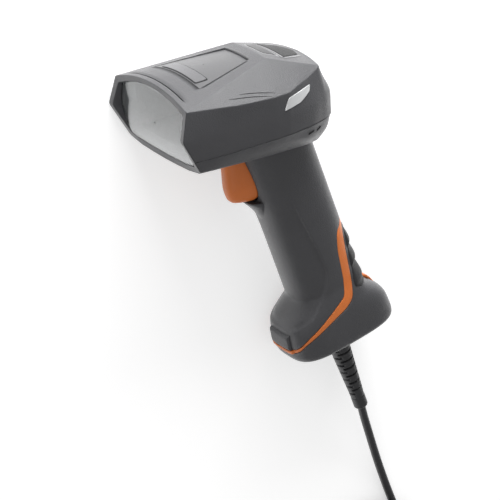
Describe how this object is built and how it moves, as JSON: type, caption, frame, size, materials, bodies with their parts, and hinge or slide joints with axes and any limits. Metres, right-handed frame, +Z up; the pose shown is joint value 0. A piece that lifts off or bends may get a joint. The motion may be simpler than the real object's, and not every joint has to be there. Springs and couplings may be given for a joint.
{
  "type": "barcode scanner",
  "caption": "Corded hand-held scanner lying on its side: faceted head with a curved reading window, raked grip with a pivoting trigger, strain relief, coiled cord and USB plug.",
  "frame": {"origin": "centre of the bounding box's underside, on the table that the scanner lies on, measured without the free cord", "axes": "+X from the head towards the foot of the grip, +Y from the reading window towards the back of the head, +Z up from the table (the scanner's left side faces up)"},
  "size_m": [0.4062, 0.1931, 0.0784],
  "materials": {
    "shell_plastic": "fine grained charcoal",
    "inlay_plastic": "smooth satin charcoal",
    "plate_plastic": "satin light grey, bare",
    "orange_plastic": "satin orange",
    "soft_rubber": "matt black",
    "cord_jacket": "satin black jacket",
    "window_clear": "clear hard-coated",
    "lens_clear": "milky light guide",
    "horn_plastic": "satin light grey",
    "inner_plastic": "black moulding",
    "lens_glass": "coated lens",
    "led_yellow": "phosphor yellow",
    "circuit_board": "green solder mask",
    "ribbon_film": "amber film",
    "tinned_steel": "tinned sheet",
    "screw_steel": "plated steel"
  },
  "bodies": {
    "housing": {"head_cover": "shell_plastic", "chin_shell": "shell_plastic", "front_bezel": "shell_plastic", "exit_window": "window_clear", "light_horn": "horn_plastic", "cover_seal": "soft_rubber", "top_panel": "inlay_plastic", "blank_plate": "plate_plastic", "status_lens": "lens_clear", "rear_panel": "soft_rubber", "side_lens_left": "lens_clear", "side_lens_right": "lens_clear", "grip_shell": "shell_plastic", "back_shell": "shell_plastic", "orange_band": "orange_plastic", "rear_grip": "soft_rubber", "nose_bumper": "soft_rubber", "lanyard_bar": "orange_plastic", "trigger_pin": "screw_steel", "trigger_frame": "inner_plastic", "trigger_spring": "screw_steel", "trigger_switch": "inner_plastic", "switch_board": "circuit_board", "camera_module": "inner_plastic", "lens_barrel": "inner_plastic", "camera_lens": "lens_glass", "aimer": "inner_plastic", "led_board": "horn_plastic", "lighting_leds": "led_yellow", "camera_bracket": "tinned_steel", "main_board": "circuit_board", "processor_shield": "tinned_steel", "beeper": "inner_plastic", "board_connector": "horn_plastic", "flat_cable": "ribbon_film", "status_board": "circuit_board", "inner_cable": "cord_jacket", "cord_socket": "inner_plastic", "chin_screws": "screw_steel", "board_screws": "screw_steel", "sole_screws": "screw_steel", "strain_relief": "cord_jacket", "cord": "cord_jacket", "cord_coil": "cord_jacket", "coil_tie": "cord_jacket", "plug_body": "cord_jacket", "plug_shell": "tinned_steel"},
    "trigger": {"trigger": "orange_plastic"}
  },
  "joints": [
    {"name": "trigger_pull", "type": "hinge", "parent": "housing", "child": "trigger", "pos_m": [-0.07088, -0.02204, 0.03688], "axis": [0.1217, 0, 0.9926], "range_deg": [0, 5], "stiffness_Nm_per_rad": 0.3, "springref_deg": -5.73}
  ]
}
